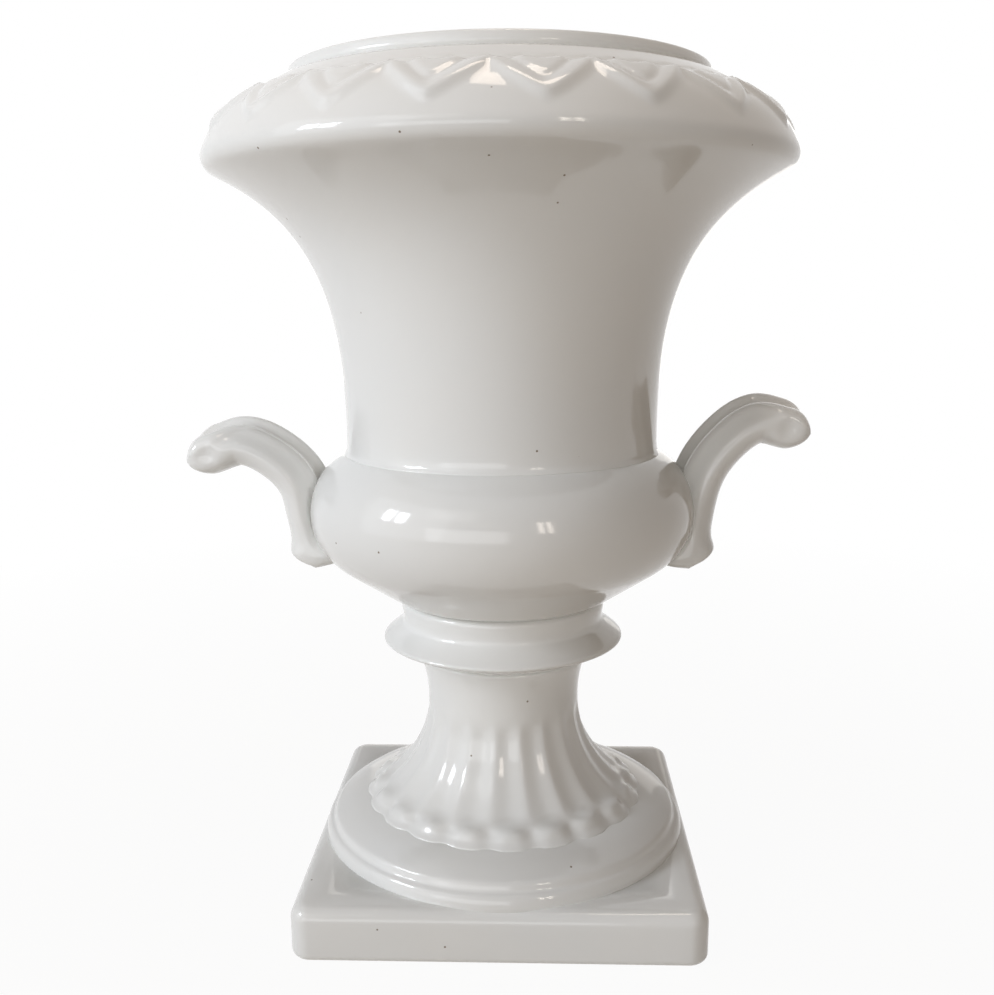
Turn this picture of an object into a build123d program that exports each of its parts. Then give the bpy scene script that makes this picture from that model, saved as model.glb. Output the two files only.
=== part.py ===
"""Glazed earthenware urn vase: slip-cast pieces luted on one upright axis.

Millimetres, +Z up. The origin is on the ground, under the middle of the square plinth.
The two handles stand on the bowl's left (-X) and right (+X) flanks.
"""
import os
from math import acos, atan2, cos, pi, radians, sin

from build123d import *

# Heights of the castings, stacked from the ground up
PLINTH_HEIGHT = 24.5
BASE_HEIGHT = 17.0
STEM_HEIGHT = 64.0
KNOP_HEIGHT = 32.0
BOWL_HEIGHT = 74.5
BELL_HEIGHT = 162.0
COLLAR_HEIGHT = 6.0

# Wall left by the slip on the plaster moulds
CAST_WALL = 6.0

# Square plinth, hollow underneath
PLINTH_SIDE = 182.0
PLINTH_CORNER = 9.0
PLINTH_TOP_ROUND = 6.0
PLINTH_FOOT_ROUND = 4.0
PLINTH_WALL = 11.0
PLINTH_PLATE = 7.0

# Round base: a bead at the ground, a step, and a low dome up to the stem's seat
BASE_MARGIN = 0.4
BASE_BORE = 75.0
BEAD_HEIGHT = 6.0
BEAD_BULGE = 2.4
STEP_SETBACK = 2.4
STEP_HEIGHT = 3.5
DOME_CROWN = 0.9
DOME_MARGIN = 2.0
BORE_SHOULDER = 5.0

# Trumpet stem: narrow at the waist, flared to a scalloped hem
STEM_RADIUS = 36.8
STEM_TOP_RADIUS = 38.4
HEM_RADIUS = 64.0
HEM_LIP = 2.6
WAIST_HEIGHT = 48.5
STEM_BORE = 28.0
STEM_FOOT_BORE = 50.0

# Flutes of the stem, each a rounded hollow that widens towards the hem
FLUTE_COUNT = 20
FLUTE_PHASE = 4.6
FLUTE_FILL = 0.84
FLUTE_TOP_DEPTH = 1.3
FLUTE_HEM_DEPTH = 2.7
FLUTE_RUNOUT = 1.0
FLUTE_HEAD = 0.07
FLUTE_END = 0.86
FLUTE_LIFT = 1.02
SCALLOP_RADIUS = 2.6
SCALLOP_BITE = 1.5
SCALLOP_HEIGHT = 7.8

# Knop: a lens-shaped flange below a short neck
KNOP_LIP_RADIUS = 39.6
KNOP_LIP_HEIGHT = 3.6
KNOP_EDGE_RADIUS = 59.6
KNOP_EDGE_HEIGHT = 15.6
KNOP_EDGE_ROUND = 4.2
NECK_RADIUS = 48.5
NECK_FOOT = 24.0
NECK_COVE = 3.0
KNOP_LIP_ROUND = 1.2

# Bowl: the swelling lower body, with the floor that holds the water
BOWL_RADIUS = 91.0
BOWL_EQUATOR = 46.5
BOWL_BELLY_ROUND = 29.7
BOWL_SHOULDER_RUN = 18.2
BOWL_FLOOR = 8.0

# Bell: an upright waist that flares to a rolled rim under a sloping shoulder
BELL_FOOT_RADIUS = BOWL_RADIUS - BOWL_SHOULDER_RUN
BELL_WAIST_HEIGHT = 12.0
BELL_WAIST_PULL = 66.0
FLARE_RIM_PULL = 41.0
FLARE_ANGLE = 26.0
RIM_RADIUS = 132.0
RIM_ROLL = 7.6
RIM_ROLL_LEAST = 1.0
RIM_DROP = 31.7
SHOULDER_LEAN = 22.0
SHOULDER_RIM_PULL = 15.0
SHOULDER_MOUTH_PULL = 25.0
SHOULDER_SLOPE = 28.0

# Zigzag ribbon in relief on the shoulder, its corners at shares of the way from the ledge to the rim
RIBBON_COUNT = 20
RIBBON_PHASE = 9.0
RIBBON_PEAK = 0.43
RIBBON_FOOT = 0.88
RIBBON_HALF_WIDTH = 2.2
RIBBON_RISE = 1.3
RIBBON_SINK = 1.5

# Mouth collar: an upright ring on the shoulder's top
COLLAR_RADIUS = 94.5
COLLAR_TAPER = 1.2
COLLAR_ROUND = 2.0
COLLAR_LEDGE = 4.0
MOUTH_RADIUS = 88.0

# Scroll handles: the strap's line from its foot on the bowl, up, over and out to the curled tip
HANDLE_FOOT_SINK = 5.0
HANDLE_FOOT_DROP = 26.0
HANDLE_LEG_OFFSET = 1.0
HANDLE_NECK_OFFSET = 8.0
HANDLE_NECK_FALL = 19.0
HANDLE_CROWN_OFFSET = 32.0
HANDLE_TIP_OFFSET = 46.4
HANDLE_TIP_FALL = 3.6
HANDLE_CROWN_RISE_RIGHT = 41.0
HANDLE_CROWN_RISE_LEFT = 31.5

# Strap of the handles: half its width, half its thickness, and the channel along its back
STRAP_HALF_WIDTH = 20.5
STRAP_HALF_THICKNESS = 10.4
STRAP_CHANNEL = 4.2
STRAP_CHANNEL_START = 0.25
STRAP_CREST_SHARE = 0.7
STRAP_LOBE_SAG = 0.15
STRAP_STATIONS = 6
STRAP_FOOT_SWELL = 6.0

# Scroll roll at the strap's free end, with a dished eye on both faces
ROLL_RADIUS = 11.0
ROLL_MARGIN = 0.6
ROLL_ROUND = 4.0
EYE_RADIUS = 5.5
EYE_DEPTH = 1.5

# Levels where one casting is luted to the next
BASE_Z = PLINTH_HEIGHT
STEM_Z = BASE_Z + BASE_HEIGHT
KNOP_Z = STEM_Z + STEM_HEIGHT
BOWL_Z = KNOP_Z + KNOP_HEIGHT
BELL_Z = BOWL_Z + BOWL_HEIGHT
COLLAR_Z = BELL_Z + BELL_HEIGHT

# The stem's flare is one arc, upright at the waist and ending on the hem's lip
FLARE_RUN = HEM_RADIUS - STEM_RADIUS
FLARE_DROP = WAIST_HEIGHT - HEM_LIP
FLARE_RADIUS = (FLARE_RUN**2 + FLARE_DROP**2) / (2 * FLARE_RUN)
FLARE_TURN = atan2(FLARE_DROP, FLARE_RADIUS - FLARE_RUN)


def meridian(height):
    """Return the upright drawing plane through the axis, with its origin at a height."""
    return Plane(origin=(0, 0, height), x_dir=(1, 0, 0), z_dir=(0, -1, 0))


def draw_bowl_side(inset, foot):
    """Draw the bowl's side, a round belly on a cone, down to a foot point, inset from the outer face."""
    top = (BELL_FOOT_RADIUS - inset, BOWL_HEIGHT)
    equator = (BOWL_RADIUS - inset, BOWL_EQUATOR)
    TangentArc(equator, top, tangent=(0, 1))
    belly = BOWL_BELLY_ROUND - inset
    centre = Vector(BOWL_RADIUS - BOWL_BELLY_ROUND, BOWL_EQUATOR)
    reach = centre - Vector(*foot)
    swing = atan2(-reach.Y, -reach.X) + acos(belly / reach.length)
    touch = centre + Vector(cos(swing), sin(swing)) * belly
    TangentArc(equator, touch, tangent=(0, -1))
    Line(touch, foot)


def rim_point(roll, angle):
    """Return a point on the rim's rolled edge, at a radius and an angle round the roll's centre."""
    return Vector(RIM_RADIUS - RIM_ROLL, BELL_HEIGHT - RIM_DROP) + Vector(cos(angle), sin(angle)) * roll


def draw_shoulder(rim, mouth):
    """Draw the shoulder's curve from a rim point up to a mouth point."""
    lean = radians(SHOULDER_LEAN)
    slope = radians(SHOULDER_SLOPE)
    Bezier(
        rim,
        rim + Vector(-sin(lean), cos(lean)) * SHOULDER_RIM_PULL,
        mouth + Vector(cos(slope), -sin(slope)) * SHOULDER_MOUTH_PULL,
        mouth,
    )


def draw_bell_side(inset, mouth):
    """Draw the bell's side from its foot over the rolled rim to a mouth point, inset likewise."""
    roll = max(RIM_ROLL - inset, RIM_ROLL_LEAST)
    flare = radians(FLARE_ANGLE)
    roll_start = rim_point(roll, flare - pi / 2)
    roll_end = rim_point(roll, radians(SHOULDER_LEAN))
    foot = (BELL_FOOT_RADIUS - inset, 0)
    waist = (BELL_FOOT_RADIUS - inset, BELL_WAIST_HEIGHT)
    Line(foot, waist)
    Bezier(
        waist,
        (waist[0], BELL_WAIST_HEIGHT + BELL_WAIST_PULL),
        roll_start - Vector(cos(flare), sin(flare)) * FLARE_RIM_PULL,
        roll_start,
    )
    ThreePointArc(roll_start, rim_point(roll, -flare / 2), roll_end)
    draw_shoulder(roll_end, mouth)


def draw_zigzag(shift):
    """Draw the ribbon's closed zigzag as seen from above, moved outwards by a shift."""
    ledge = COLLAR_RADIUS + COLLAR_LEDGE
    corners = []
    for fold in range(RIBBON_COUNT):
        for share, turn in ((RIBBON_FOOT, 0), (RIBBON_PEAK, 0.5)):
            angle = radians(RIBBON_PHASE) + 2 * pi * (fold + turn) / RIBBON_COUNT
            reach = ledge + share * (RIM_RADIUS - ledge) + shift
            corners.append((reach * cos(angle), reach * sin(angle)))
    Polyline(*corners, close=True)


def flute_circle(share, depth):
    """Return the plane and radius of a flute's round section, at a share of the flare's turn."""
    angle = share * FLARE_TURN
    hollow = FLUTE_TOP_DEPTH + (FLUTE_HEM_DEPTH - FLUTE_TOP_DEPTH) * share
    reach = STEM_RADIUS + FLARE_RADIUS * (1 - cos(angle))
    half_width = FLUTE_FILL * pi * reach / FLUTE_COUNT
    radius = (half_width**2 + hollow**2) / (2 * hollow)
    arm = FLARE_RADIUS - radius + depth
    centre = (
        STEM_RADIUS + FLARE_RADIUS - arm * cos(angle),
        0,
        STEM_Z + WAIST_HEIGHT - arm * sin(angle),
    )
    downhill = (sin(angle), 0, -cos(angle))
    return Plane(origin=centre, x_dir=(0, 1, 0), z_dir=downhill), radius


def scroll_strap(crown_rise):
    """Return a solid scroll strap on the +X side, whose crown stands so far above the bowl's equator."""
    equator = BOWL_Z + BOWL_EQUATOR
    with BuildPart() as strap:
        with BuildLine(Plane.XZ) as spine:
            Spline(
                (BOWL_RADIUS - HANDLE_FOOT_SINK, equator - HANDLE_FOOT_DROP),
                (BOWL_RADIUS + HANDLE_LEG_OFFSET, equator),
                (BOWL_RADIUS + HANDLE_NECK_OFFSET, equator + crown_rise - HANDLE_NECK_FALL),
                (BOWL_RADIUS + HANDLE_CROWN_OFFSET, equator + crown_rise),
                (BOWL_RADIUS + HANDLE_TIP_OFFSET, equator + crown_rise - HANDLE_TIP_FALL),
            )
        line = spine.line
        for station in range(STRAP_STATIONS + 1):
            share = station / STRAP_STATIONS
            half_thickness = STRAP_HALF_THICKNESS + (0 if station else STRAP_FOOT_SWELL)
            channel = STRAP_CHANNEL * min(1, STRAP_CHANNEL_START + share)
            with BuildSketch(Plane(origin=line @ share, x_dir=(0, 1, 0), z_dir=line % share)):
                with BuildLine():
                    crest = (STRAP_CREST_SHARE * STRAP_HALF_WIDTH, half_thickness)
                    heel = (STRAP_CREST_SHARE * STRAP_HALF_WIDTH, -half_thickness)
                    groove = (0, half_thickness - channel)
                    flank = (STRAP_HALF_WIDTH, 0)
                    SagittaArc(groove, crest, channel * STRAP_LOBE_SAG)
                    ThreePointArc(crest, flank, heel)
                    Line(heel, (0, -half_thickness))
                    mirror(about=Plane.YZ)
                make_face()
        loft()
        face = STRAP_HALF_WIDTH + ROLL_MARGIN
        tip = (BOWL_RADIUS + HANDLE_TIP_OFFSET, 0, equator + crown_rise - HANDLE_TIP_FALL)
        with BuildSketch(Plane(origin=tip, x_dir=(0, 1, 0), z_dir=(1, 0, 0))):
            with BuildLine():
                TangentArc((face - EYE_DEPTH, 0), (face, EYE_RADIUS), tangent=(0, 1))
                FilletPolyline((face, EYE_RADIUS), (face, ROLL_RADIUS), (0, ROLL_RADIUS), radius=ROLL_ROUND)
                mirror(about=Plane.YZ)
                Line((EYE_DEPTH - face, 0), (face - EYE_DEPTH, 0))
            make_face()
        revolve(axis=Axis(tip, (0, 1, 0)))
        with BuildSketch(meridian(BOWL_Z)):
            with BuildLine():
                draw_bowl_side(0, (NECK_RADIUS, 0))
                Polyline((NECK_RADIUS, 0), (0, 0), (0, BOWL_HEIGHT), (BELL_FOOT_RADIUS, BOWL_HEIGHT))
            make_face()
        revolve(axis=Axis.Z, mode=Mode.SUBTRACT)
    return strap.part


# Square plinth: rounded block, hollowed from below, open up into the round base
with BuildPart() as plinth:
    with BuildSketch():
        RectangleRounded(PLINTH_SIDE, PLINTH_SIDE, PLINTH_CORNER)
    extrude(amount=PLINTH_HEIGHT)
    fillet(plinth.faces().sort_by(Axis.Z)[-1].edges(), PLINTH_TOP_ROUND)
    fillet(plinth.faces().sort_by(Axis.Z)[0].edges(), PLINTH_FOOT_ROUND)
    with BuildSketch():
        RectangleRounded(PLINTH_SIDE - 2 * PLINTH_WALL, PLINTH_SIDE - 2 * PLINTH_WALL, PLINTH_CORNER)
    extrude(amount=PLINTH_HEIGHT - PLINTH_PLATE, mode=Mode.SUBTRACT)
    with BuildSketch():
        Circle(BASE_BORE)
    extrude(amount=PLINTH_HEIGHT, mode=Mode.SUBTRACT)

# Round base: bead, step and dome turned in one, hollow underneath
with BuildPart() as round_base:
    base_radius = PLINTH_SIDE / 2 - BASE_MARGIN
    bead_root = base_radius - BEAD_BULGE
    step_radius = bead_root - STEP_SETBACK
    dome_seat = HEM_RADIUS + DOME_MARGIN
    with BuildSketch(meridian(BASE_Z)):
        with BuildLine():
            ThreePointArc((bead_root, 0), (base_radius, BEAD_HEIGHT / 2), (bead_root, BEAD_HEIGHT))
            step_top = (step_radius, BEAD_HEIGHT + STEP_HEIGHT)
            Polyline((bead_root, BEAD_HEIGHT), (step_radius, BEAD_HEIGHT), step_top)
            SagittaArc(step_top, (dome_seat, BASE_HEIGHT), -DOME_CROWN)
            Polyline(
                (dome_seat, BASE_HEIGHT),
                (STEM_FOOT_BORE, BASE_HEIGHT),
                (STEM_FOOT_BORE, BASE_HEIGHT - CAST_WALL),
                (BASE_BORE, BORE_SHOULDER),
                (BASE_BORE, 0),
                (bead_root, 0),
            )
        make_face()
    revolve(axis=Axis.Z)

# One flute as a solid: round sections that follow the flare and lift off it at both ends
with BuildPart() as flute:
    middle_depth = (FLUTE_TOP_DEPTH + FLUTE_HEM_DEPTH) / 2
    for share, depth in (
        (-FLUTE_HEAD, -FLUTE_RUNOUT),
        (FLUTE_HEAD, FLUTE_TOP_DEPTH),
        ((FLUTE_HEAD + FLUTE_END) / 2, middle_depth),
        (FLUTE_END, FLUTE_HEM_DEPTH),
        (FLUTE_LIFT, -FLUTE_RUNOUT),
    ):
        plane, radius = flute_circle(share, depth)
        with BuildSketch(plane):
            Circle(radius)
    loft()

# Fluted stem: hollow trumpet, fluted all round, its hem notched between the flutes
with BuildPart() as fluted_stem:
    hem_top = (HEM_RADIUS, HEM_LIP)
    waist = (STEM_RADIUS, WAIST_HEIGHT)
    stem_top = (STEM_TOP_RADIUS, STEM_HEIGHT)
    with BuildSketch(meridian(STEM_Z)):
        with BuildLine():
            Line((HEM_RADIUS, 0), hem_top)
            TangentArc(waist, hem_top, tangent=(0, -1))
            TangentArc(waist, stem_top, tangent=(0, 1))
            Polyline(stem_top, (STEM_BORE, STEM_HEIGHT), (STEM_BORE, WAIST_HEIGHT))
            TangentArc((STEM_BORE, WAIST_HEIGHT), (STEM_FOOT_BORE, 0), tangent=(0, -1))
            Line((STEM_FOOT_BORE, 0), (HEM_RADIUS, 0))
        make_face()
    revolve(axis=Axis.Z)
    with PolarLocations(0, FLUTE_COUNT, start_angle=FLUTE_PHASE):
        add(flute.part, mode=Mode.SUBTRACT)
    with BuildSketch(Plane.XY.offset(STEM_Z)):
        notch_ring = HEM_RADIUS + SCALLOP_RADIUS - SCALLOP_BITE
        with PolarLocations(notch_ring, FLUTE_COUNT, start_angle=FLUTE_PHASE + 180 / FLUTE_COUNT):
            Circle(SCALLOP_RADIUS)
    extrude(amount=SCALLOP_HEIGHT, mode=Mode.SUBTRACT)

# Knop: flange and neck turned in one, hollow
with BuildPart() as knop:
    with BuildSketch(meridian(KNOP_Z)):
        with BuildLine():
            FilletPolyline(
                (STEM_BORE, 0),
                (KNOP_LIP_RADIUS, 0),
                (KNOP_LIP_RADIUS, KNOP_LIP_HEIGHT),
                (KNOP_EDGE_RADIUS, KNOP_EDGE_HEIGHT),
                (NECK_RADIUS, NECK_FOOT),
                (NECK_RADIUS, KNOP_HEIGHT),
                (STEM_BORE, KNOP_HEIGHT),
                radius=[KNOP_LIP_ROUND, KNOP_LIP_ROUND, KNOP_EDGE_ROUND, NECK_COVE, KNOP_LIP_ROUND],
            )
            Line((STEM_BORE, KNOP_HEIGHT), (STEM_BORE, 0))
        make_face()
    revolve(axis=Axis.Z)

# Bowl: shell with a closed floor, open at the top into the bell
with BuildPart() as bowl:
    floor_edge = (NECK_RADIUS - CAST_WALL, BOWL_FLOOR)
    with BuildSketch(meridian(BOWL_Z)):
        with BuildLine():
            draw_bowl_side(0, (NECK_RADIUS, 0))
            draw_bowl_side(CAST_WALL, floor_edge)
            Line((BELL_FOOT_RADIUS, BOWL_HEIGHT), (BELL_FOOT_RADIUS - CAST_WALL, BOWL_HEIGHT))
            Polyline(floor_edge, (0, BOWL_FLOOR), (0, 0), (NECK_RADIUS, 0))
        make_face()
    revolve(axis=Axis.Z)

# Zigzag ribbon: an upright band cut to a thin layer that follows the shoulder
with BuildPart() as ribbon:
    ledge_edge = Vector(COLLAR_RADIUS + COLLAR_LEDGE, BELL_HEIGHT)
    rim_edge = rim_point(RIM_ROLL, radians(SHOULDER_LEAN))
    outward = Vector(sin(radians(SHOULDER_SLOPE)), cos(radians(SHOULDER_SLOPE)))
    with BuildSketch(Plane.XY.offset(COLLAR_Z - RIM_DROP)):
        with BuildLine():
            draw_zigzag(RIBBON_HALF_WIDTH)
        make_face()
        with BuildLine():
            draw_zigzag(-RIBBON_HALF_WIDTH)
        make_face(mode=Mode.SUBTRACT)
    extrude(amount=RIM_DROP)
    with BuildSketch(meridian(BELL_Z)):
        with BuildLine():
            for lift in (outward * RIBBON_RISE, outward * -RIBBON_SINK):
                draw_shoulder(rim_edge + lift, ledge_edge + lift)
            for edge in (rim_edge, ledge_edge):
                Line(edge + outward * RIBBON_RISE, edge - outward * RIBBON_SINK)
        make_face()
    revolve(axis=Axis.Z, mode=Mode.INTERSECT)

# Bell: shell with the rolled rim and the ribboned shoulder, open at both ends
with BuildPart() as bell:
    throat = Vector(MOUTH_RADIUS, BELL_HEIGHT - CAST_WALL)
    with BuildSketch(meridian(BELL_Z)):
        with BuildLine():
            draw_bell_side(0, ledge_edge)
            draw_bell_side(CAST_WALL, throat)
            Line((BELL_FOOT_RADIUS, 0), (BELL_FOOT_RADIUS - CAST_WALL, 0))
            Polyline(throat, (MOUTH_RADIUS, BELL_HEIGHT), ledge_edge)
        make_face()
    revolve(axis=Axis.Z)
    add(ribbon.part)

# Mouth collar: tapered ring with a rounded lip
with BuildPart() as mouth_collar:
    with BuildSketch(meridian(COLLAR_Z)):
        with BuildLine():
            FilletPolyline(
                (COLLAR_RADIUS, 0),
                (COLLAR_RADIUS - COLLAR_TAPER, COLLAR_HEIGHT),
                (MOUTH_RADIUS, COLLAR_HEIGHT),
                (MOUTH_RADIUS, 0),
                radius=COLLAR_ROUND,
            )
            Line((MOUTH_RADIUS, 0), (COLLAR_RADIUS, 0))
        make_face()
    revolve(axis=Axis.Z)

# Handles: the same strap on both flanks, the left one set lower by hand
with BuildPart() as handle_right:
    add(scroll_strap(HANDLE_CROWN_RISE_RIGHT))

with BuildPart() as handle_left:
    add(mirror(scroll_strap(HANDLE_CROWN_RISE_LEFT), about=Plane.YZ, mode=Mode.PRIVATE))

os.makedirs("parts", exist_ok=True)
for name, piece in (
    ("plinth", plinth),
    ("round_base", round_base),
    ("fluted_stem", fluted_stem),
    ("knop", knop),
    ("bowl", bowl),
    ("bell", bell),
    ("mouth_collar", mouth_collar),
    ("handle_left", handle_left),
    ("handle_right", handle_right),
):
    piece.part.label = name
    export_step(piece.part, f"parts/{name}.step")
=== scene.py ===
"""Glazed earthenware urn vase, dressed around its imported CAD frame.

Every casting of the vase is turned or drawn again as a smooth mesh with the soft edges that a
thick glaze leaves, and gets a white glaze with its pinholes and its slow waves.
Sizes are in millimetres and angles in radians unless a name or a docstring says otherwise.
Meshes are written in metres.
"""

import logging
import math
from dataclasses import dataclass, field
from enum import Enum
from typing import ClassVar

import bmesh
import bpy
from mathutils import Matrix, Vector


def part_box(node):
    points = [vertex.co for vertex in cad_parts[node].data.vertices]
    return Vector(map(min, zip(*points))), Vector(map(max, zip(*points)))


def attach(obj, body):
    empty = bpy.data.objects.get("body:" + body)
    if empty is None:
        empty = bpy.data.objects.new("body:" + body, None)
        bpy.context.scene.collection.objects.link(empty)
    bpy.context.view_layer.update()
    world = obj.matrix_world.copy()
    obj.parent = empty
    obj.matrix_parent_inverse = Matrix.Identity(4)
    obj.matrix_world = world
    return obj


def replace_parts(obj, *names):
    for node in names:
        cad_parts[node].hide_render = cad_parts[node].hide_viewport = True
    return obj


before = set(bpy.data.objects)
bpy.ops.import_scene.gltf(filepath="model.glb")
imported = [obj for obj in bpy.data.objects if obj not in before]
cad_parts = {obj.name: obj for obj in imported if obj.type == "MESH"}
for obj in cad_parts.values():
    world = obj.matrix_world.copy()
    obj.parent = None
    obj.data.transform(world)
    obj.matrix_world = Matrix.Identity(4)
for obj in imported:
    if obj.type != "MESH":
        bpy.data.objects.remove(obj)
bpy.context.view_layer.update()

LOG = logging.getLogger("urn_vase")
MM = 0.001
BODY = "root"
WELD_M = 0.00001
# Colour sockets of the Mix node, whose names repeat for its other kinds of value.
MIX_FIRST, MIX_SECOND, MIX_RESULT = 6, 7, 2


def linear(hex_code: str) -> tuple[float, float, float, float]:
    """Turn an sRGB hex value into a linear colour.

    Args:
        hex_code: colour such as "f4f2ec".

    Returns:
        Linear red, green, blue and an alpha of one.
    """
    parts = [int(hex_code[i:i + 2], 16) / 255 for i in (0, 2, 4)]
    light = [p / 12.92 if p <= 0.04045 else ((p + 0.055) / 1.055) ** 2.4 for p in parts]
    return (light[0], light[1], light[2], 1.0)


def smooth_step(low: float, high: float, value: float) -> float:
    """Return 0 below low, 1 above high and an S curve between them."""
    share = min(1.0, max(0.0, (value - low) / (high - low)))
    return share * share * (3 - 2 * share)


def hump(value: float, middle: float, width: float) -> float:
    """Return 1 at the middle, falling smoothly to nothing over about two widths."""
    return math.exp(-(((value - middle) / width) ** 2))


def bezier(start: Vector, first: Vector, second: Vector, end: Vector, t: float) -> Vector:
    """Return the point of a Bezier curve at a share t of its run, 0 to 1."""
    u = 1 - t
    return u**3 * start + 3 * u * u * t * first + 3 * u * t * t * second + t**3 * end


def add_node(tree: bpy.types.NodeTree, kind: str, links: dict | None = None, **settings) -> bpy.types.Node:
    """Add a shader node with its settings and its incoming links.

    Args:
        tree: node tree to add to.
        kind: Blender's node type.
        links: input name or number to an output socket, or to a plain value for that input.
        settings: attributes of the node itself.

    Returns:
        The new node.
    """
    node = tree.nodes.new(kind)
    for name, value in settings.items():
        setattr(node, name, value)
    for key, value in (links or {}).items():
        if isinstance(value, bpy.types.NodeSocket):
            tree.links.new(value, node.inputs[key])
        else:
            node.inputs[key].default_value = value
    return node


def empty_tree(owner: bpy.types.Material | bpy.types.World) -> bpy.types.NodeTree:
    """Give a material or a world an empty node tree.

    Args:
        owner: the material or the world.

    Returns:
        Its tree.
    """
    owner.use_nodes = True
    owner.node_tree.nodes.clear()
    return owner.node_tree


def seen_rays(tree: bpy.types.NodeTree) -> bpy.types.NodeSocket:
    """Tell the rays that show the background itself from the rays that only carry light.

    Args:
        tree: node tree of the floor or the world.

    Returns:
        Socket that is 1 on rays that come straight, mirrored or through glass, and 0 on the others.
    """
    rays = add_node(tree, "ShaderNodeLightPath").outputs
    seen = rays["Is Camera Ray"]
    for kind in ("Is Glossy Ray", "Is Transmission Ray"):
        seen = add_node(tree, "ShaderNodeMath", {0: seen, 1: rays[kind]}, operation="MAXIMUM").outputs[0]
    return seen


class Ware(Enum):
    """What a casting shows: glaze all over, or glaze with a foot rim of bare clay."""

    GLAZED = "white tin glaze on earthenware"
    BARE_FOOT = "white tin glaze with a wiped clay foot rim"


class Side(Enum):
    """Flank of the bowl that a handle stands on, with the sign of x there."""

    LEFT = -1
    RIGHT = 1


@dataclass(frozen=True)
class GlazeFinish:
    """White tin glaze, dipped and fired on cast earthenware.

    It gives the eye a milky white with a wet gloss, slow waves where the glaze ran, a breath of
    warmer and cooler white, and a few brown pinholes.
    """

    ware: Ware
    white: str = "f1f0ec"
    cool_white: str = "eceeee"
    pinhole: str = "7f6d5a"
    bare_clay: str = "cdbda4"
    gloss_roughness: float = 0.09
    clay_roughness: float = 0.85
    refraction: float = 1.52
    cloud_mm: float = 70.0
    cloud_detail: float = 2.0
    wave_mm: float = 26.0
    wave_detail: float = 1.0
    wave_depth_mm: float = 0.16
    wave_strength: float = 0.5
    pinhole_cell_mm: float = 17.0
    pinhole_radius_mm: float = 0.6
    pinhole_core_mm: float = 0.3
    foot_line_mm: float = 1.2
    foot_bare_mm: float = 0.6

    def build(self) -> bpy.types.Material:
        """Return the finish as a node material."""
        material = bpy.data.materials.new(self.ware.value)
        tree = empty_tree(material)
        place = add_node(tree, "ShaderNodeTexCoord").outputs["Object"]
        colour = self._colour(tree, place)
        waves = add_node(
            tree,
            "ShaderNodeTexNoise",
            {"Vector": place, "Scale": 1 / (self.wave_mm * MM), "Detail": self.wave_detail},
        )
        bump = add_node(
            tree,
            "ShaderNodeBump",
            {
                "Height": waves.outputs["Fac"],
                "Strength": self.wave_strength,
                "Distance": self.wave_depth_mm * MM,
            },
        )
        shader = add_node(
            tree,
            "ShaderNodeBsdfPrincipled",
            {
                "Base Color": colour,
                "Normal": bump.outputs["Normal"],
                "IOR": self.refraction,
                "Roughness": self.gloss_roughness,
            },
        )
        if self.ware is Ware.BARE_FOOT:
            self._bare_the_foot(tree, shader, place, colour)
        add_node(tree, "ShaderNodeOutputMaterial", {"Surface": shader.outputs["BSDF"]})
        return material

    def _colour(self, tree: bpy.types.NodeTree, place: bpy.types.NodeSocket) -> bpy.types.NodeSocket:
        """Cloud the white and speck it with pinholes.

        Args:
            tree: the finish's node tree.
            place: object coordinates.

        Returns:
            Socket of the glazed colour.
        """
        clouds = add_node(
            tree,
            "ShaderNodeTexNoise",
            {"Vector": place, "Scale": 1 / (self.cloud_mm * MM), "Detail": self.cloud_detail},
        ).outputs["Fac"]
        tint = add_node(
            tree,
            "ShaderNodeMix",
            {"Factor": clouds, MIX_FIRST: linear(self.white), MIX_SECOND: linear(self.cool_white)},
            data_type="RGBA",
        ).outputs[MIX_RESULT]
        cells = add_node(
            tree, "ShaderNodeTexVoronoi", {"Vector": place, "Scale": 1 / (self.pinhole_cell_mm * MM)}
        )
        speck = add_node(
            tree,
            "ShaderNodeMapRange",
            {
                "Value": cells.outputs["Distance"],
                "From Min": self.pinhole_core_mm / self.pinhole_cell_mm,
                "From Max": self.pinhole_radius_mm / self.pinhole_cell_mm,
                "To Min": 1.0,
                "To Max": 0.0,
            },
        ).outputs["Result"]
        return add_node(
            tree,
            "ShaderNodeMix",
            {"Factor": speck, MIX_FIRST: tint, MIX_SECOND: linear(self.pinhole)},
            data_type="RGBA",
        ).outputs[MIX_RESULT]

    def _bare_the_foot(
        self,
        tree: bpy.types.NodeTree,
        shader: bpy.types.Node,
        place: bpy.types.NodeSocket,
        colour: bpy.types.NodeSocket,
    ) -> None:
        """Wipe the glaze off the lowest faces.

        Args:
            tree: the finish's node tree.
            shader: its main shader.
            place: object coordinates.
            colour: the glazed colour.
        """
        height = add_node(tree, "ShaderNodeSeparateXYZ", {"Vector": place}).outputs["Z"]
        bare = add_node(
            tree,
            "ShaderNodeMapRange",
            {
                "Value": height,
                "From Min": self.foot_bare_mm * MM,
                "From Max": self.foot_line_mm * MM,
                "To Min": 1.0,
                "To Max": 0.0,
            },
        ).outputs["Result"]
        clay = add_node(
            tree,
            "ShaderNodeMix",
            {"Factor": bare, MIX_FIRST: colour, MIX_SECOND: linear(self.bare_clay)},
            data_type="RGBA",
        )
        tree.links.new(clay.outputs[MIX_RESULT], shader.inputs["Base Color"])
        rough = add_node(
            tree,
            "ShaderNodeMapRange",
            {"Value": bare, "To Min": self.gloss_roughness, "To Max": self.clay_roughness},
        )
        tree.links.new(rough.outputs["Result"], shader.inputs["Roughness"])


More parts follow.
